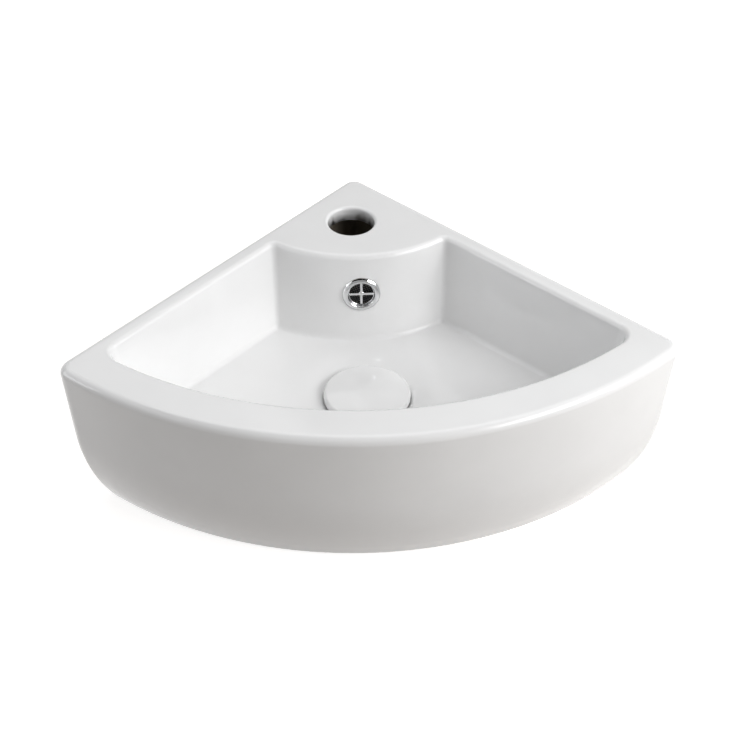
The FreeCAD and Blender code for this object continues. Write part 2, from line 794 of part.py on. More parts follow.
def make_cap():
    """The domed ceramic cap, the disc bonded in its recess, and the seal, stem and nut below."""
    recess = size["cap_radius"] - size["cap_wall"]
    hub = size["cap_radius"] - size["cap_shoulder"]
    shoulder_level = cap_under + size["cap_hem"] * 3
    rise = cap_top - shoulder_level
    shoulder = size["cap_shoulder"]
    dome = (hub * hub + rise * rise - shoulder * shoulder) / ((rise - shoulder) * 2)
    blend = dome / (dome - shoulder)
    points = [
        (recess, cap_under),
        (size["cap_radius"] - size["cap_hem"], cap_under),
        (size["cap_radius"], cap_under + size["cap_hem"]),
        (size["cap_radius"], shoulder_level),
        (hub * blend, cap_top - dome + (dome - rise) * blend),
        (ZERO, cap_top),
        (ZERO, disc_top),
        (recess, disc_top),
    ]
    cap = turned("waste_cap", points, {1: size["cap_hem"], 3: shoulder, 4: dome})
    place(cap, y=waste_y)
    stem_bore = size["stem_radius"] + size["thread_play"]
    disc = turned("cap_base_disc",
                  ring_points(stem_bore, recess - size["disc_play"], disc_under, disc_top))
    place(disc, y=waste_y)
    seal_inner = size["cap_seal_radius"] - size["cap_seal_width"]
    seal_edge = size["cap_seal_thickness"] / 2
    points = [
        (seal_inner, cap_seal_under + seal_edge),
        (seal_inner + seal_edge, cap_seal_under),
        (size["cap_seal_radius"] - seal_edge, cap_seal_under),
        (size["cap_seal_radius"], cap_seal_under + seal_edge),
        (size["cap_seal_radius"], disc_under),
        (seal_inner, disc_under),
    ]
    place(turned("cap_seal_ring", points, {0: seal_edge, 2: seal_edge}), y=waste_y)
    stem_under = socket_floor + size["play"]
    stem_top = disc_top - size["running"]
    points = [(ZERO, stem_under), (size["stem_radius"], stem_under), (size["stem_radius"], stem_top),
              (ZERO, stem_top)]
    place(turned("cap_stem", points), y=waste_y)
    hex_nut("cap_lock_nut", size["lock_nut_flats"], size["lock_nut_length"], stem_bore,
            disc_under - size["lock_nut_length"])


def make_clicker():
    """The push mechanism: barrel, gasket, nut, bottom plug, plunger, rotor and spring."""
    points = [
        (size["barrel_bore"], barrel_under),
        (size["barrel_radius"], barrel_under),
        (size["barrel_radius"], collar_under),
        (size["collar_radius"], collar_under),
        (size["collar_radius"], collar_top),
        (size["barrel_radius"], collar_top),
        (size["barrel_radius"], barrel_top),
        (size["plunger_neck"] + size["running"], barrel_top),
        (size["plunger_neck"] + size["running"], barrel_top - size["barrel_lip"]),
        (size["barrel_bore"], barrel_top - size["barrel_lip"]),
    ]
    place(turned("clicker_barrel", points), y=waste_y)
    gasket = ring_points(size["barrel_radius"] + size["running"],
                         size["collar_radius"] - size["play"], boss_top, collar_under)
    place(turned("clicker_gasket", gasket), y=waste_y)
    hex_nut("clicker_nut", size["barrel_nut_flats"], size["barrel_nut_length"],
            size["barrel_radius"] + size["thread_play"], boss_under - size["barrel_nut_length"])
    points = [
        (ZERO, barrel_under - size["plug_head"]),
        (size["barrel_radius"], barrel_under - size["plug_head"]),
        (size["barrel_radius"], barrel_under),
        (size["barrel_bore"] - size["thread_play"], barrel_under),
        (size["barrel_bore"] - size["thread_play"], plug_top),
        (ZERO, plug_top),
    ]
    place(turned("clicker_plug", points), y=waste_y)
    points = [
        (ZERO, head_under - size["plunger_pin_length"]),
        (size["plunger_pin"], head_under - size["plunger_pin_length"]),
        (size["plunger_pin"], head_under),
        (size["barrel_bore"] - size["running"], head_under),
        (size["barrel_bore"] - size["running"], head_top),
        (size["plunger_neck"], head_top),
        (size["plunger_neck"], plunger_top),
        (size["stem_radius"] + size["swivel"], plunger_top),
        (size["stem_radius"] + size["swivel"], socket_floor),
        (ZERO, socket_floor),
    ]
    place(turned("clicker_plunger", points), y=waste_y)
    make_rotor()
    make_spring()


def make_rotor():
    """The indexing ring on the plunger's pin. Its ribs step round the barrel as the cap is pressed."""
    inner = size["plunger_pin"] + size["running"]
    rotor = turned("clicker_rotor", ring_points(inner, size["rotor_radius"], rotor_under, rotor_top))
    tip = size["barrel_bore"] - size["play"]
    block(rotor, "rib", "Additive", size["rotor_rib"] / 2, size["rotor_radius"] - size["play"], tip,
          rotor_under, rotor_top)
    polar(rotor, rotor.Tip, RIB_COUNT)
    place(rotor, y=waste_y)


def make_spring():
    """The compression spring between the bottom plug and the rotor."""
    spring = new_body("clicker_spring")
    wire = size["spring_wire"]
    length = rotor_under - plug_top - size["play"] * 2 - wire * 2
    section = spring.newObject("Sketcher::SketchObject", "spring_wire_section")
    section.AttachmentSupport = [(origin_plane(spring, "XZ_Plane"), "")]
    section.MapMode = "FlatFace"
    circle = Part.Circle(Vector(size["spring_radius"].value, wire.value, 0), Vector(0, 0, 1), wire.value)
    section.addGeometry(circle)
    rules = (
        (Sketcher.Constraint("Radius", 0, wire.value), wire),
        (Sketcher.Constraint("DistanceX", 0, 3, size["spring_radius"].value), size["spring_radius"]),
        (Sketcher.Constraint("DistanceY", 0, 3, wire.value), wire),
    )
    for rule, value in rules:
        bind(section, f"Constraints[{section.addConstraint(rule)}]", value)
    coil = spring.newObject("PartDesign::AdditiveHelix", "coil")
    coil.Profile = section
    coil.ReferenceAxis = (section, ["V_Axis"])
    coil.Mode = "pitch-height-angle"
    bind(coil, "Pitch", length / SPRING_TURNS)
    bind(coil, "Height", length)
    section.Visibility = False
    place(spring, y=waste_y, z=plug_top + size["play"])


make_basin()
make_overflow_trim()
make_overflow_spider()
make_overflow_sleeve()
make_waste_body()
make_seals()
hex_nut("waste_back_nut", size["back_nut_flats"], size["back_nut_length"],
        size["tail_radius"] + size["thread_play"], back_nut_under)
make_cap()
make_clicker()
doc.recompute()

for item in doc.Objects:
    if "Invalid" in item.State or "Error" in item.State:
        raise RuntimeError(f"{item.Name} did not recompute: {item.State}")
bodies = [item for item in doc.Objects if item.TypeId == "PartDesign::Body"]
for body in bodies:
    if body.Shape.isNull() or not body.Shape.isValid() or len(body.Shape.Solids) != 1:
        raise RuntimeError(f"{body.Label} is not one valid solid")
os.makedirs("parts", exist_ok=True)
for body in bodies:
    body.Shape.exportStep(f"parts/{body.Label}.step")
    box = body.Shape.BoundBox
    print(f"{body.Label}: {box.XLength:.2f} x {box.YLength:.2f} x {box.ZLength:.2f} mm, "
          f"Z {box.ZMin:.2f} to {box.ZMax:.2f}, {body.Shape.Volume / 1000:.2f} cm3")
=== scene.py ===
"""Looks of the corner hand basin: glazed ceramic, its chrome overflow ring, its waste and its push cap.

Everything is in metres in the row frame: +Z up, +X across the basin, the wall corner towards +Y.
"""
import json
import math

import bmesh
import bpy
from mathutils import Matrix, Vector
from mathutils.bvhtree import BVHTree


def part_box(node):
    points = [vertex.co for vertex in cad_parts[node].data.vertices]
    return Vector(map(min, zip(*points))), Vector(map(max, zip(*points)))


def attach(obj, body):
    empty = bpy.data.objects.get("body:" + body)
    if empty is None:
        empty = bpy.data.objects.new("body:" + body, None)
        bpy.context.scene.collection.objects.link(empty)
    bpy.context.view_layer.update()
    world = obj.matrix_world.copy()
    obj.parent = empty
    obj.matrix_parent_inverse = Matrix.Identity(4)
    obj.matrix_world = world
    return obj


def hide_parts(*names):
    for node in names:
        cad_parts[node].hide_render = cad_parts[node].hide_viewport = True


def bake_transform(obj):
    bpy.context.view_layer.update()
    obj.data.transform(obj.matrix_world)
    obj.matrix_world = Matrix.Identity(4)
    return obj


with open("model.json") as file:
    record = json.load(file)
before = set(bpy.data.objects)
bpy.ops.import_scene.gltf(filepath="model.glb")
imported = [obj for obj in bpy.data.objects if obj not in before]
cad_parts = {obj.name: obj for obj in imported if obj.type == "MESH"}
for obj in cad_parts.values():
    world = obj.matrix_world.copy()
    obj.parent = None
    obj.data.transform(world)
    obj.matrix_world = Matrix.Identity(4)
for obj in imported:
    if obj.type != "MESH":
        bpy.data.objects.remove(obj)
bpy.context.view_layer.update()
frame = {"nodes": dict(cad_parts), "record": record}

MM = 0.001
BODY_OF = {node: body for body, nodes in frame["record"]["behaviour"]["bodies"].items() for node in nodes}

# Where things lie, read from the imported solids
BASIN_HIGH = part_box("basin_body")[1]
BACK_ROUNDING = 10 * MM
CORNER_Y = BASIN_HIGH.y + BACK_ROUNDING * (math.sqrt(2) - 1)
WASTE_LOW, WASTE_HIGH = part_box("waste_body")
WASTE_Y = (WASTE_LOW.y + WASTE_HIGH.y) / 2
TAIL_RADIUS = 20.95 * MM
SPOKE_THICKNESS = 1.6 * MM

# The waste's thread, G 1 1/4: eleven turns to the inch
THREAD_PITCH = 2.309 * MM
THREAD_DEPTH = 1.3 * MM
THREAD_TURNS = 8.0

# The push mechanism's spring
SPRING_RADIUS = 4.6 * MM
SPRING_WIRE = 0.5 * MM
SPRING_TURNS = 6.0

# Surfaces are smooth, but for edges that turn by more than this many degrees
SHARP = 32.0
NUT_SHARP = 25.0
NUT_BEVEL_ANGLE = 35.0

# The photograph's camera: a long lens, looking down on the basin and a little from its left
IMAGE_SIDE = 736
SENSOR = 36.0
CAMERA_AZIMUTH = math.radians(-3.498)
CAMERA_ELEVATION = math.radians(38.860)
CAMERA_ROLL = math.radians(0.070)
CAMERA_DISTANCE = 1.9
CAMERA_FOCAL = 2454.86  # in pixels of the photograph
CAMERA_TARGET = Vector((3.497 * MM, 25.565 * MM, 60 * MM))


# ---------------------------------------------------------------- small tools

def linear(code):
    """An sRGB hex colour as linear RGBA."""
    channels = [int(code[place:place + 2], 16) / 255 for place in (1, 3, 5)]
    return [c / 12.92 if c <= 0.04045 else ((c + 0.055) / 1.055) ** 2.4 for c in channels] + [1.0]


def per_metre(millimetres):
    """A texture's scale that gives features of this size."""
    return 1000.0 / millimetres


def add(tree, kind, inputs=None, **settings):
    """Adds a node, gives it its settings, and links or sets its inputs by name or number."""
    node = tree.nodes.new(kind)
    for key, value in settings.items():
        setattr(node, key, value)
    for key, value in (inputs or {}).items():
        if isinstance(value, bpy.types.NodeSocket):
            tree.links.new(value, node.inputs[key])
        else:
            node.inputs[key].default_value = value
    return node


def maths(tree, operation, *values, clamp=False):
    """A number worked out from one, two or three others."""
    node = add(tree, "ShaderNodeMath", dict(enumerate(values)), operation=operation, use_clamp=clamp)
    return node.outputs[0]


def link_object(name, mesh):
    """A new object at the origin with this mesh."""
    piece = bpy.data.objects.new(name, mesh)
    bpy.context.scene.collection.objects.link(piece)
    return piece


def evaluated_mesh(piece):
    """The piece's mesh with its modifiers applied."""
    bpy.context.view_layer.update()
    graph = bpy.context.evaluated_depsgraph_get()
    return bpy.data.meshes.new_from_object(piece.evaluated_get(graph), depsgraph=graph)


def bake_modifiers(piece):
    """Makes what the modifiers give the piece's own mesh."""
    mesh = evaluated_mesh(piece)
    piece.modifiers.clear()
    piece.data = mesh
    return piece


def merged_copy(node, name, sharp=SHARP):
    """A copy of a CAD node as one joined skin, smooth but for its sharp edges."""
    skin = bmesh.new()
    skin.from_mesh(frame["nodes"][node].data)
    bmesh.ops.remove_doubles(skin, verts=skin.verts, dist=2e-6)
    bmesh.ops.dissolve_degenerate(skin, edges=skin.edges, dist=1e-7)
    for face in skin.faces:
        face.material_index = 0
    mesh = bpy.data.meshes.new(name)
    skin.to_mesh(mesh)
    skin.free()
    return smoothed(link_object(name, mesh), sharp)


def smoothed(piece, sharp=SHARP):
    """Smooth shading, with the sharp edges kept."""
    piece.data.shade_smooth()
    piece.data.set_sharp_from_angle(angle=math.radians(sharp))
    return piece


def even_normals(piece):
    """Flat faces keep their flat shading next to rounded edges."""
    modifier = piece.modifiers.new("even_normals", "WEIGHTED_NORMAL")
    modifier.mode = "FACE_AREA"
    modifier.keep_sharp = True
    return piece


def dress(piece, node, *materials):
    """Gives a piece its materials and its body, and stands it in for its CAD node."""
    piece.data.materials.clear()
    for material in materials:
        piece.data.materials.append(material)
    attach(piece, BODY_OF[node])
    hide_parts(node)
    return piece


# ---------------------------------------------------------------- materials

def new_material(name):
    """A material, its tree, its shader and the piece's own coordinates."""
    material = bpy.data.materials.new(name)
    material.use_nodes = True
    tree = material.node_tree
    tree.nodes.clear()
    shader = add(tree, "ShaderNodeBsdfPrincipled")
    add(tree, "ShaderNodeOutputMaterial", {"Surface": shader.outputs[0]})
    place = add(tree, "ShaderNodeTexCoord").outputs["Object"]
    return material, tree, shader, place


def noise(tree, place, size, detail=2.0, roughness=0.5):
    """Soft noise whose lumps are this many millimetres across."""
    node = add(tree, "ShaderNodeTexNoise", {"Vector": place, "Scale": per_metre(size), "Detail": detail,
                                            "Roughness": roughness})
    return node.outputs[0]


def blend(tree, share, low, high):
    """A colour between two hex colours or sockets."""
    ends = [linear(end) if isinstance(end, str) else end for end in (low, high)]
    node = add(tree, "ShaderNodeMix", {"Factor": share, "A": ends[0], "B": ends[1]}, data_type="RGBA")
    return node.outputs["Result"]


def range_of(tree, value, low, high, to_low=0.0, to_high=1.0):
    """A number moved from one range to another, and held inside it."""
    node = add(tree, "ShaderNodeMapRange", {"Value": value, "From Min": low, "From Max": high,
                                            "To Min": to_low, "To Max": to_high})
    return node.outputs[0]


def bump(tree, height, depth, normal=None):
    """A bump whose height of 1 is this many millimetres."""
    inputs = {"Height": height, "Distance": depth * MM, "Strength": 1.0}
    if normal is not None:
        inputs["Normal"] = normal
    return add(tree, "ShaderNodeBump", inputs).outputs[0]


def glazed_ceramic():
    """Vitreous china, slip cast, sprayed with white glaze and fired.

    The glaze gives clear, slightly wavy reflections on a neutral white body. The faces that stand
    against the walls, the back corner between them and the underside of the foot are left bare,
    and there the fired clay shows matt and cream.
    """
    material, tree, shader, place = new_material("vitreous_china_white_glaze")
    x, y, z = add(tree, "ShaderNodeSeparateXYZ", {"Vector": place}).outputs
    cloud = noise(tree, place, 60, detail=3)
    glaze = blend(tree, range_of(tree, cloud, 0.3, 0.7), "#F0F0F0", "#F4F4F4")

    # Bare clay: on the wall planes, on the back corner between them and on the floor plane, as far as
    # a glaze line that wanders below the rim
    full, faded = 0.3 * MM, 0.5 * MM
    line_low, line_high = BASIN_HIGH.z - 18 * MM, BASIN_HIGH.z - 16 * MM
    edge = noise(tree, place, 9, detail=4)
    wander = range_of(tree, edge, 0.3, 0.7, -3 * MM, 3 * MM)
    across = maths(tree, "ABSOLUTE", x)
    inset = maths(tree, "MULTIPLY", maths(tree, "SUBTRACT", maths(tree, "SUBTRACT", CORNER_Y, y), across),
                  math.sqrt(0.5))
    on_corner = range_of(tree, y, CORNER_Y - BACK_ROUNDING * 0.75, CORNER_Y - BACK_ROUNDING * 0.72)
    on_wall = maths(tree, "MAXIMUM", range_of(tree, inset, faded, full), on_corner)
    glaze_line = maths(tree, "ADD", z, wander)
    below_line = range_of(tree, glaze_line, line_high, line_low)
    on_foot = range_of(tree, z, faded, full)
    bare = maths(tree, "MAXIMUM", maths(tree, "MULTIPLY", on_wall, below_line), on_foot, clamp=True)

    grain = noise(tree, place, 0.8, detail=5, roughness=0.7)
    clay = blend(tree, range_of(tree, grain, 0.3, 0.7), "#D9D0C0", "#E8E1D3")
    tree.links.new(blend(tree, bare, glaze, clay), shader.inputs["Base Color"])
    tree.links.new(range_of(tree, bare, 0, 1, 0.07, 0.85), shader.inputs["Roughness"])
    shader.inputs["IOR"].default_value = 1.52
    flow = noise(tree, place, 32, detail=1)
    peel = noise(tree, place, 3.5, detail=1)
    surface = bump(tree, flow, 0.05)
    surface = bump(tree, peel, 0.0025, surface)
    clay_depth = maths(tree, "MULTIPLY", grain, bare)
    surface = bump(tree, clay_depth, 0.08, surface)
    tree.links.new(surface, shader.inputs["Normal"])
    return material


def unglazed_clay_painted_shade():
    """The hollow underside, where no glaze is sprayed: fired clay, matt and greyish cream, with a dry grain.
    Its tones are painted darker than the bare clay outside, as painted shade in the hollow.
    """
    material, tree, shader, place = new_material("vitreous_china_unglazed_painted_shade")
    cloud = noise(tree, place, 40, detail=3)
    grain = noise(tree, place, 0.8, detail=5, roughness=0.7)
    # Painted shade: these tones are darker than the same bare clay on the wall faces, so the hollow seen
    # through the tap hole looks dark
    tone = blend(tree, range_of(tree, cloud, 0.3, 0.7), "#A1988A", "#AFA698")
    speckled_painted_shade = blend(tree, maths(tree, "MULTIPLY", grain, 0.4), tone, "#8B8273")
    tree.links.new(speckled_painted_shade, shader.inputs["Base Color"])
    shader.inputs["Roughness"].default_value = 0.9
    shader.inputs["Specular IOR Level"].default_value = 0.15
    tree.links.new(bump(tree, grain, 0.12), shader.inputs["Normal"])
    return material


def chrome(name, roughness):
    """Chrome plate on polished brass: a near white neutral mirror with very fine wipe marks."""
    material, tree, shader, place = new_material(name)
    wipe = noise(tree, place, 0.9, detail=3)
    tree.links.new(blend(tree, wipe, "#DADBDC", "#E6E6E7"), shader.inputs["Base Color"])
    shader.inputs["Metallic"].default_value = 1.0
    wiped = range_of(tree, wipe, 0.3, 0.7, roughness * 0.7, roughness * 1.3)
    tree.links.new(wiped, shader.inputs["Roughness"])
    tree.links.new(bump(tree, noise(tree, place, 6, detail=1), 0.004), shader.inputs["Normal"])
    return material


def machined(name, dark, light, roughness, pitch):
    """Metal turned on a lathe: fine rings a tool's feed apart, about the waste's axis."""
    material, tree, shader, place = new_material(name)
    moved = add(tree, "ShaderNodeMapping", {"Vector": place, "Location": (0.0, -WASTE_Y, 0.0)}).outputs[0]
    x, y, z = add(tree, "ShaderNodeSeparateXYZ", {"Vector": moved}).outputs
    square = maths(tree, "ADD", maths(tree, "MULTIPLY", x, x), maths(tree, "MULTIPLY", y, y))
    radius = maths(tree, "SQRT", square)
    feed = maths(tree, "SINE", maths(tree, "MULTIPLY", maths(tree, "ADD", radius, z),
                                     2 * math.pi * per_metre(pitch)))
    stain = noise(tree, place, 5, detail=4)
    tree.links.new(blend(tree, stain, dark, light), shader.inputs["Base Color"])
    shader.inputs["Metallic"].default_value = 1.0
    dulled = range_of(tree, stain, 0.3, 0.7, roughness * 0.8, roughness * 1.25)
    tree.links.new(dulled, shader.inputs["Roughness"])
    tree.links.new(bump(tree, feed, 0.004), shader.inputs["Normal"])
    return material


def moulded(name, dark, light, roughness, depth=0.01):
    """Injection moulded plastic: even colour with a fine spark-eroded grain."""
    material, tree, shader, place = new_material(name)
    tone = noise(tree, place, 12, detail=2)
    grain = noise(tree, place, 0.35, detail=2)
    tree.links.new(blend(tree, tone, dark, light), shader.inputs["Base Color"])
    grained = range_of(tree, grain, 0.3, 0.7, roughness * 0.85, roughness * 1.15)
    tree.links.new(grained, shader.inputs["Roughness"])
    shader.inputs["IOR"].default_value = 1.49
    tree.links.new(bump(tree, grain, depth), shader.inputs["Normal"])
    return material


def rubber():
    """Black EPDM rubber, press moulded: matt, with a pale bloom in its hollows."""
    material, tree, shader, place = new_material("epdm_rubber_black")
    bloom = noise(tree, place, 4, detail=4, roughness=0.65)
    grain = noise(tree, place, 0.3, detail=2)
    tone = blend(tree, range_of(tree, bloom, 0.45, 0.75), "#1B1B1C", "#343436")
    tree.links.new(tone, shader.inputs["Base Color"])
    tree.links.new(range_of(tree, bloom, 0.3, 0.7, 0.55, 0.8), shader.inputs["Roughness"])
    tree.links.new(bump(tree, grain, 0.02), shader.inputs["Normal"])
    return material


MATERIALS = {
    "glaze": glazed_ceramic(),
    # The hollow's clay, painted darker as painted shade
    "clay": unglazed_clay_painted_shade(),
    "chrome": chrome("chrome_plated_brass", 0.05),
    "satin_chrome": chrome("chrome_plated_plastic", 0.09),
    "brass": machined("turned_brass", "#B08D4C", "#C9A765", 0.22, 0.25),
    "steel": machined("stainless_steel_drawn", "#A7A8AA", "#BDBEC0", 0.28, 0.2),
    "rubber": rubber(),
    "white_plastic": moulded("polypropylene_white", "#E4E3DE", "#EBEAE6", 0.38),
    "grey_plastic": moulded("polypropylene_grey", "#6E7073", "#7B7D80", 0.42, 0.02),
    "black_plastic": moulded("nylon_black", "#161617", "#1F1F20", 0.4),
}


# ---------------------------------------------------------------- geometry trees

def new_tree(name, sizes, counts=()):
    """A Geometry Nodes tree with named inputs for its lengths, its counts and its material."""
    tree = bpy.data.node_groups.new(name, "GeometryNodeTree")
    for label in sizes:
        tree.interface.new_socket(label, in_out="INPUT", socket_type="NodeSocketFloat")
    for label in counts:
        tree.interface.new_socket(label, in_out="INPUT", socket_type="NodeSocketInt")
    tree.interface.new_socket("Material", in_out="INPUT", socket_type="NodeSocketMaterial")
    tree.interface.new_socket("Geometry", in_out="OUTPUT", socket_type="NodeSocketGeometry")
    given = add(tree, "NodeGroupInput").outputs
    return tree, given


def close_tree(tree, given, geometry):
    """Ends a tree: its copies made real, smooth and painted."""
    realized = add(tree, "GeometryNodeRealizeInstances", {"Geometry": geometry}).outputs[0]
    smooth = add(tree, "GeometryNodeSetShadeSmooth", {"Geometry": realized}).outputs[0]
    painted = add(tree, "GeometryNodeSetMaterial", {"Geometry": smooth, "Material": given["Material"]})
    add(tree, "NodeGroupOutput", {"Geometry": painted.outputs[0]})
    return tree


def grow(name, tree, values):
    """Runs a tree with these inputs and returns its result as a plain mesh object."""
    piece = link_object(name, bpy.data.meshes.new(name))
    modifier = piece.modifiers.new(tree.name, "NODES")
    modifier.node_group = tree
    for item in tree.interface.items_tree:
        if item.in_out == "INPUT" and item.name in values:
            modifier[item.identifier] = values[item.name]
    return bake_modifiers(piece)


def helix_tree():
    """A wire of round section, or a three-sided cutter, wound into a helix that rises from the origin."""
    tree, given = new_tree("helix", ["Radius", "Rise", "Turns", "Wire"], ["Steps", "Sides"])
    spiral = add(tree, "GeometryNodeCurveSpiral", {
        "Resolution": given["Steps"], "Rotations": given["Turns"], "Height": given["Rise"],
        "Start Radius": given["Radius"], "End Radius": given["Radius"]}).outputs[0]
    upright = add(tree, "GeometryNodeSetCurveNormal", {"Curve": spiral}, mode="Z_UP").outputs[0]
    section = add(tree, "GeometryNodeCurvePrimitiveCircle",
                  {"Resolution": given["Sides"], "Radius": given["Wire"]}, mode="RADIUS").outputs[0]
    wire = add(tree, "GeometryNodeCurveToMesh",
               {"Curve": upright, "Profile Curve": section, "Fill Caps": True})
    return close_tree(tree, given, wire.outputs[0])


def grid_tree():
    """Rounded spokes set evenly round a domed hub, which run out into a round rim."""
    tree, given = new_tree("spoked_grid", ["Reach", "Width", "Thickness", "Hub", "Rim", "Wire"], ["Spokes"])
    size = add(tree, "ShaderNodeCombineXYZ",
               {"X": given["Width"], "Y": given["Reach"], "Z": given["Thickness"]})
    bar = add(tree, "GeometryNodeMeshCube", {"Size": size.outputs[0]}).outputs[0]
    bar = add(tree, "GeometryNodeSubdivisionSurface",
              {"Mesh": bar, "Level": 3, "Edge Crease": 0.55}).outputs[0]
    middle = maths(tree, "MULTIPLY", given["Reach"], 0.5)
    shift = add(tree, "ShaderNodeCombineXYZ", {"Y": middle}).outputs[0]
    bar = add(tree, "GeometryNodeTransform", {"Geometry": bar, "Translation": shift}).outputs[0]
    points = add(tree, "GeometryNodePoints", {"Count": given["Spokes"]}).outputs[0]
    index = add(tree, "GeometryNodeInputIndex").outputs[0]
    turn = maths(tree, "DIVIDE", maths(tree, "MULTIPLY", index, 2 * math.pi), given["Spokes"])
    rotation = add(tree, "ShaderNodeCombineXYZ", {"Z": turn}).outputs[0]
    spokes = add(tree, "GeometryNodeInstanceOnPoints", {"Points": points, "Instance": bar,
                                                        "Rotation": rotation}).outputs[0]
    hub = add(tree, "GeometryNodeMeshUVSphere",
              {"Segments": 32, "Rings": 16, "Radius": given["Hub"]}).outputs[0]
    hub = add(tree, "GeometryNodeTransform", {"Geometry": hub, "Scale": (1.0, 1.0, 0.55)}).outputs[0]
    ring = add(tree, "GeometryNodeCurvePrimitiveCircle", {"Resolution": 96, "Radius": given["Rim"]},
               mode="RADIUS").outputs[0]
    section = add(tree, "GeometryNodeCurvePrimitiveCircle", {"Resolution": 14, "Radius": given["Wire"]},
                  mode="RADIUS").outputs[0]
    ring = add(tree, "GeometryNodeCurveToMesh", {"Curve": ring, "Profile Curve": section}).outputs[0]
    join = add(tree, "GeometryNodeJoinGeometry")
    for part in (spokes, hub, ring):
        tree.links.new(part, join.inputs[0])
    return close_tree(tree, given, join.outputs[0])


def strainer_tree():
    """A round mesh of two layers of flat strips, each cut to the circle it stands in."""
    tree, given = new_tree("strainer", ["Radius", "Pitch", "Strip", "Thickness"], ["Strips"])
    last = maths(tree, "SUBTRACT", given["Strips"], 1)
    first = maths(tree, "MULTIPLY", maths(tree, "MULTIPLY", last, given["Pitch"]), -0.5)
    start = add(tree, "ShaderNodeCombineXYZ", {"X": first}).outputs[0]
    step = add(tree, "ShaderNodeCombineXYZ", {"X": given["Pitch"]}).outputs[0]
    line = add(tree, "GeometryNodeMeshLine",
               {"Count": given["Strips"], "Start Location": start, "Offset": step},
               mode="OFFSET", count_mode="TOTAL").outputs[0]
    position = add(tree, "GeometryNodeInputPosition").outputs[0]
    x = add(tree, "ShaderNodeSeparateXYZ", {"Vector": position}).outputs[0]
    radius_square = maths(tree, "MULTIPLY", given["Radius"], given["Radius"])
    half_square = maths(tree, "SUBTRACT", radius_square, maths(tree, "MULTIPLY", x, x))
    half = maths(tree, "SQRT", maths(tree, "MAXIMUM", 0.0, half_square))
    size = add(tree, "ShaderNodeCombineXYZ",
               {"X": given["Strip"], "Y": 2.0, "Z": given["Thickness"]}).outputs[0]
    strip = add(tree, "GeometryNodeMeshCube", {"Size": size}).outputs[0]
    stretch = add(tree, "ShaderNodeCombineXYZ", {"X": 1.0, "Y": half, "Z": 1.0}).outputs[0]
    layer = add(tree, "GeometryNodeInstanceOnPoints",
                {"Points": line, "Instance": strip, "Scale": stretch}).outputs[0]
    below = maths(tree, "MULTIPLY", given["Thickness"], -1.0)
    under = add(tree, "ShaderNodeCombineXYZ", {"Z": below}).outputs[0]
    crossed = add(tree, "GeometryNodeTransform", {"Geometry": layer, "Translation": under,
                                                  "Rotation": (0.0, 0.0, math.pi / 2)}).outputs[0]
    join = add(tree, "GeometryNodeJoinGeometry")
    for part in (layer, crossed):
        tree.links.new(part, join.inputs[0])
    return close_tree(tree, given, join.outputs[0])


HELIX = helix_tree()
GRID = grid_tree()
STRAINER = strainer_tree()


# ---------------------------------------------------------------- pieces

# The underside is told from the outside by looking round from just off each face
STAND_OFF = 2 * MM
LEVEL_WAYS = [Vector((math.cos(turn), math.sin(turn), 0)) for turn in (0.3, 1.35, 2.4, 3.4, 4.5, 5.5)]
CLOSED_WAYS = 4


def is_hollow(skin, centre, normal):
    """Whether a face looks into the hollow underside: ceramic lies over it and on most sides of it."""
    start = centre + normal * STAND_OFF
    if skin.ray_cast(start, Vector((0, 0, 1)))[0] is None:
        return False
    return sum(skin.ray_cast(start, way)[0] is not None for way in LEVEL_WAYS) >= CLOSED_WAYS


def make_basin():
    """The ceramic: glazed, but for the raw clay of its hollow underside, whose darker tone is painted shade."""
    basin = merged_copy("basin_body", "ceramic_basin")
    skin = BVHTree.FromObject(basin, bpy.context.evaluated_depsgraph_get())
    hollow = [int(is_hollow(skin, face.center, face.normal)) for face in basin.data.polygons]
    # The hollow's faces take the second material, its clay painted darker as painted shade
    dress(even_normals(basin), "basin_body", MATERIALS["glaze"], MATERIALS["clay"])
    basin.data.polygons.foreach_set("material_index", hollow)


def make_plain_pieces():
    """Pieces whose CAD shape is the finished shape: each a joined skin with its own finish."""
    finish = {
        "overflow_trim_ring": "chrome",
        "overflow_clip_sleeve": "black_plastic",
        "waste_top_seal": "rubber",
        "waste_lower_seal": "rubber",
        "waste_slip_washer": "white_plastic",
        "waste_cap": "glaze",
        "cap_base_disc": "brass",
        "cap_seal_ring": "rubber",
        "clicker_barrel": "brass",
        "clicker_gasket": "rubber",
        "clicker_plug": "white_plastic",
        "clicker_plunger": "white_plastic",
        "clicker_rotor": "grey_plastic",
        "cap_stem": "steel",
    }
    for node, material in finish.items():
        dress(even_normals(merged_copy(node, f"{node}_finished")), node, MATERIALS[material])


def make_nuts():
    """Hexagon nuts with their corners broken."""
    nuts = {
        "waste_back_nut": ("grey_plastic", 0.8),
        "cap_lock_nut": ("steel", 0.25),
        "clicker_nut": ("brass", 0.3),
    }
    for node, (material, width) in nuts.items():
        nut = merged_copy(node, f"{node}_finished", sharp=NUT_SHARP)
        edge = nut.modifiers.new("broken_edges", "BEVEL")
        edge.width = width * MM
        edge.segments = 3
        edge.limit_method = "ANGLE"
        edge.angle_limit = math.radians(NUT_BEVEL_ANGLE)
        dress(even_normals(nut), node, MATERIALS[material])


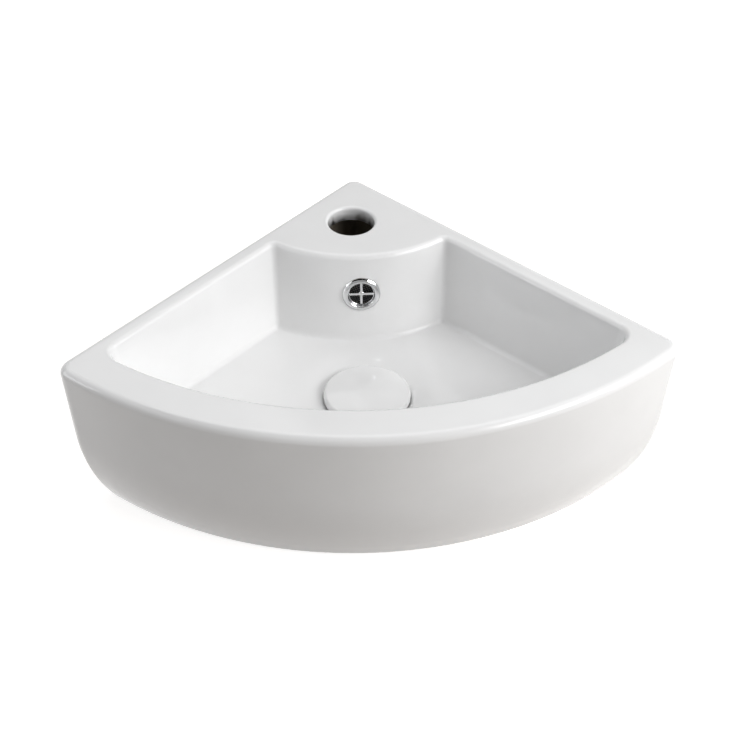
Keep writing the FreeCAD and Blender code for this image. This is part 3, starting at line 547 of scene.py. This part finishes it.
def make_grid():
    """Four rounded spokes in the overflow's ring, square to the leaning deck wall, and a black mesh behind."""
    low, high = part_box("overflow_spider")
    lean = math.asin((high.y - low.y - SPOKE_THICKNESS) / (high.z - low.z))
    upright = Matrix.Translation((low + high) / 2) @ Matrix.Rotation(math.pi / 2 - lean, 4, "X")
    grid = grow("overflow_grid", GRID, {
        "Reach": 9.8 * MM, "Width": 1.9 * MM, "Thickness": SPOKE_THICKNESS, "Hub": 2.3 * MM,
        "Rim": 9.75 * MM, "Wire": 0.4 * MM, "Spokes": 4})
    grid.data.transform(upright)
    dress(grid, "overflow_spider", MATERIALS["satin_chrome"])
    strainer = grow("overflow_strainer", STRAINER, {
        "Radius": 10.0 * MM, "Pitch": 1.7 * MM, "Strip": 0.6 * MM, "Thickness": 0.4 * MM, "Strips": 11})
    setback, turn = 1.0 * MM, 0.4
    strainer.data.transform(
        upright @ Matrix.Translation((0.0, 0.0, -setback)) @ Matrix.Rotation(turn, 4, "Z"))
    strainer.data.shade_flat()
    dress(strainer, "overflow_spider", MATERIALS["black_plastic"])


def make_waste_body():
    """The waste with its thread: a helical V groove cut in the tail."""
    waste = merged_copy("waste_body", "waste_body_finished")
    wire = 1.0 * MM
    groove = grow("thread_groove", HELIX, {
        "Radius": TAIL_RADIUS - THREAD_DEPTH + wire, "Rise": THREAD_TURNS * THREAD_PITCH,
        "Turns": THREAD_TURNS, "Wire": wire, "Steps": 48, "Sides": 3})
    run_in = 1.3 * MM
    groove.data.transform(Matrix.Translation((0.0, WASTE_Y, WASTE_LOW.z - run_in)))
    cut = waste.modifiers.new("thread", "BOOLEAN")
    cut.operation = "DIFFERENCE"
    cut.solver = "EXACT"
    cut.object = groove
    bake_modifiers(waste)
    bpy.data.objects.remove(groove)
    dress(even_normals(smoothed(waste)), "waste_body", MATERIALS["chrome"])


def make_spring():
    """Six turns of steel wire between the bottom plug and the rotor."""
    low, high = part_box("clicker_spring")
    spring = grow("push_spring", HELIX, {
        "Radius": SPRING_RADIUS, "Rise": high.z - low.z - 2 * SPRING_WIRE, "Turns": SPRING_TURNS,
        "Wire": SPRING_WIRE, "Steps": 32, "Sides": 10})
    spring.data.transform(Matrix.Translation((0.0, WASTE_Y, low.z + SPRING_WIRE)))
    spring.data.materials.clear()
    spring.data.materials.append(MATERIALS["steel"])
    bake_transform(spring)
    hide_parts("clicker_spring")


make_basin()
make_plain_pieces()
make_nuts()
make_grid()
make_waste_body()
make_spring()


# ---------------------------------------------------------------- studio

# The world's light on the object, and the floor's own glow where the camera or a mirror sees it
AMBIENT = 0.04
FLOOR_LIFT = 0.82

# The floor is wide enough for every view, and lies a hair below the basin's foot
FLOOR_SIDE = 16.0
FLOOR_GAP = 0.1 * MM

# Lamps and cards face the middle of the basin's height
STUDIO_MIDDLE = Vector((0, 0, 0.07))
CLIP_NEAR, CLIP_FAR = 0.05, 50.0


def seen_directly(tree):
    """1 for rays from the camera or by way of a mirror or glass, 0 for the light on the object."""
    path = add(tree, "ShaderNodeLightPath").outputs
    return maths(tree, "MAXIMUM", maths(tree, "MAXIMUM", path["Is Camera Ray"], path["Is Glossy Ray"]),
                 path["Is Transmission Ray"])


def flat_sheet(name, material, width, height, cells):
    """A flat rectangle about the origin."""
    sheet = bmesh.new()
    bmesh.ops.create_grid(sheet, x_segments=cells, y_segments=cells, size=0.5)
    bmesh.ops.scale(sheet, vec=(width, height, 1.0), verts=sheet.verts)
    mesh = bpy.data.meshes.new(name)
    sheet.to_mesh(mesh)
    sheet.free()
    mesh.materials.append(material)
    return link_object(name, mesh)


def make_floor():
    """A plain white floor, which keeps the basin's soft shadow."""
    material, tree, shader, place = new_material("painted_studio_floor")
    tone = noise(tree, place, 400, detail=2)
    tree.links.new(blend(tree, tone, "#B5B1AD", "#BAB6B2"), shader.inputs["Base Color"])
    shader.inputs["Roughness"].default_value = 0.9
    shader.inputs["Specular IOR Level"].default_value = 0.1
    shader.inputs["Emission Color"].default_value = linear("#FFFFFF")
    glow = maths(tree, "MULTIPLY", seen_directly(tree), FLOOR_LIFT)
    tree.links.new(glow, shader.inputs["Emission Strength"])
    floor = flat_sheet("studio_floor", material, FLOOR_SIDE, FLOOR_SIDE, 8)
    floor.location.z = -FLOOR_GAP


def make_world():
    """Faint even light on the object, and white where the camera and mirrors look past it."""
    world = bpy.data.worlds.new("studio")
    bpy.context.scene.world = world
    world.use_nodes = True
    tree = world.node_tree
    tree.nodes.clear()
    strength = range_of(tree, seen_directly(tree), 0, 1, AMBIENT, 1.0)
    background = add(tree, "ShaderNodeBackground", {"Color": linear("#FFFFFF"), "Strength": strength})
    add(tree, "ShaderNodeOutputWorld", {"Surface": background.outputs[0]})


def aim(holder, azimuth, elevation, distance):
    """Puts a lamp or a card round the middle of the basin, facing it. Azimuth 0 is straight in front."""
    a, e = math.radians(azimuth), math.radians(elevation)
    towards = Vector((math.sin(a) * math.cos(e), -math.cos(a) * math.cos(e), math.sin(e)))
    holder.location = STUDIO_MIDDLE + towards * distance
    holder.rotation_euler = towards.to_track_quat("Z", "Y").to_euler()


def softbox(name, azimuth, elevation, distance, width, height, power, tint="#FFFFFF"):
    """A rectangular lamp."""
    lamp = bpy.data.lights.new(name, "AREA")
    lamp.shape = "RECTANGLE"
    lamp.size, lamp.size_y = width, height
    lamp.energy = power
    lamp.color = linear(tint)[:3]
    holder = bpy.data.objects.new(name, lamp)
    bpy.context.scene.collection.objects.link(holder)
    aim(holder, azimuth, elevation, distance)


def studio_card(name, azimuth, elevation, distance, width, height, shade):
    """A card that only mirrors see: it draws the darker bands in the chrome."""
    material, _, shader, _ = new_material(f"{name}_paint")
    shader.inputs["Base Color"].default_value = linear("#000000")
    shader.inputs["Roughness"].default_value = 1.0
    shader.inputs["Emission Color"].default_value = linear(shade)
    shader.inputs["Emission Strength"].default_value = 1.0
    card = flat_sheet(name, material, width, height, 1)
    aim(card, azimuth, elevation, distance)
    card.visible_camera = card.visible_diffuse = card.visible_shadow = card.visible_transmission = False


def make_camera():
    """The photograph's camera."""
    lens = bpy.data.cameras.new("camera")
    lens.sensor_width = SENSOR
    lens.lens = CAMERA_FOCAL * SENSOR / IMAGE_SIDE
    lens.clip_start, lens.clip_end = CLIP_NEAR, CLIP_FAR
    camera = bpy.data.objects.new("camera", lens)
    bpy.context.scene.collection.objects.link(camera)
    back = Vector((math.sin(CAMERA_AZIMUTH) * math.cos(CAMERA_ELEVATION),
                   -math.cos(CAMERA_AZIMUTH) * math.cos(CAMERA_ELEVATION), math.sin(CAMERA_ELEVATION)))
    camera.location = CAMERA_TARGET + back * CAMERA_DISTANCE
    turn = (-back).to_track_quat("-Z", "Y").to_matrix() @ Matrix.Rotation(CAMERA_ROLL, 3, "Z")
    camera.rotation_euler = turn.to_euler()
    bpy.context.scene.camera = camera


make_floor()
make_world()

# Name, azimuth and elevation in degrees, distance, width and height in metres, watts, tint
softbox("key_right", 54, 34, 1.7, 1.2, 1.0, 17.8)
softbox("key_strip", 72, 30, 1.7, 1.9, 0.4, 4.5)
softbox("top", 0, 86, 1.6, 1.6, 1.6, 6.3)
softbox("back_left", -150, 58, 1.6, 1.2, 1.0, 3.0)
softbox("back_right", 150, 58, 1.6, 1.2, 1.0, 1.2)
softbox("left_low", -88, 14, 1.6, 1.0, 0.6, 6.0, "#FCFDFF")
softbox("left_high", -90, 45, 1.6, 1.2, 1.0, 0.8, "#FBFDFF")
softbox("right_low", 85, 12, 1.7, 1.4, 0.5, 4.2)

# Name, azimuth and elevation in degrees, distance, width and height in metres, shade
studio_card("black_card", -12, 64, 1.2, 1.7, 0.85, "#0C0C0C")
studio_card("grey_card", -12, 20, 2.6, 3.4, 1.9, "#A0A0A0")

make_camera()
bpy.context.scene.view_settings.view_transform = "Standard"
